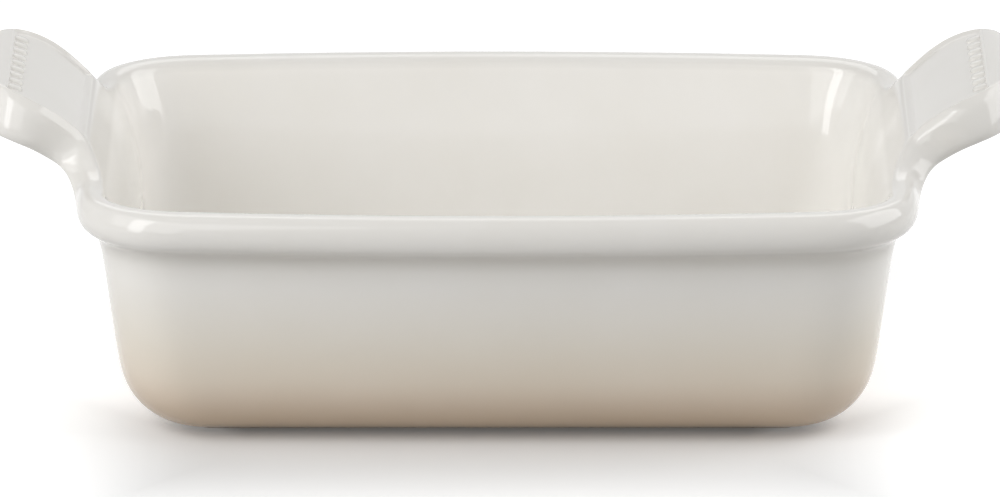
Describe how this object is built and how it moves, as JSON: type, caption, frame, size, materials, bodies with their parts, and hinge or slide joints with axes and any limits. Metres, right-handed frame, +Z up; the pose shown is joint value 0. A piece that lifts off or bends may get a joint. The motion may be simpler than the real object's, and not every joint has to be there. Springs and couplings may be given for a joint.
{
  "type": "lasagna dish",
  "caption": "Deep rectangular stoneware baking dish with a thick rounded rim, raised tab handles at both ends and a graded glaze outside.",
  "frame": {"origin": "under the middle of the dish, on the surface that it stands on", "axes": "+X along the long sides from handle to handle, +Z up out of the mouth"},
  "size_m": [0.3822, 0.231, 0.1231],
  "materials": {
    "stoneware": "matt, unglazed",
    "cream_glaze": "glossy",
    "graded_glaze": "glossy, off-white under the rim shading to sand at the base"
  },
  "bodies": {
    "root": {"basin": "stoneware", "foot_ring": "stoneware", "outer_glaze": "graded_glaze", "inner_glaze": "cream_glaze", "rim_band": "cream_glaze", "left_handle": "cream_glaze", "right_handle": "cream_glaze"}
  },
  "joints": []
}
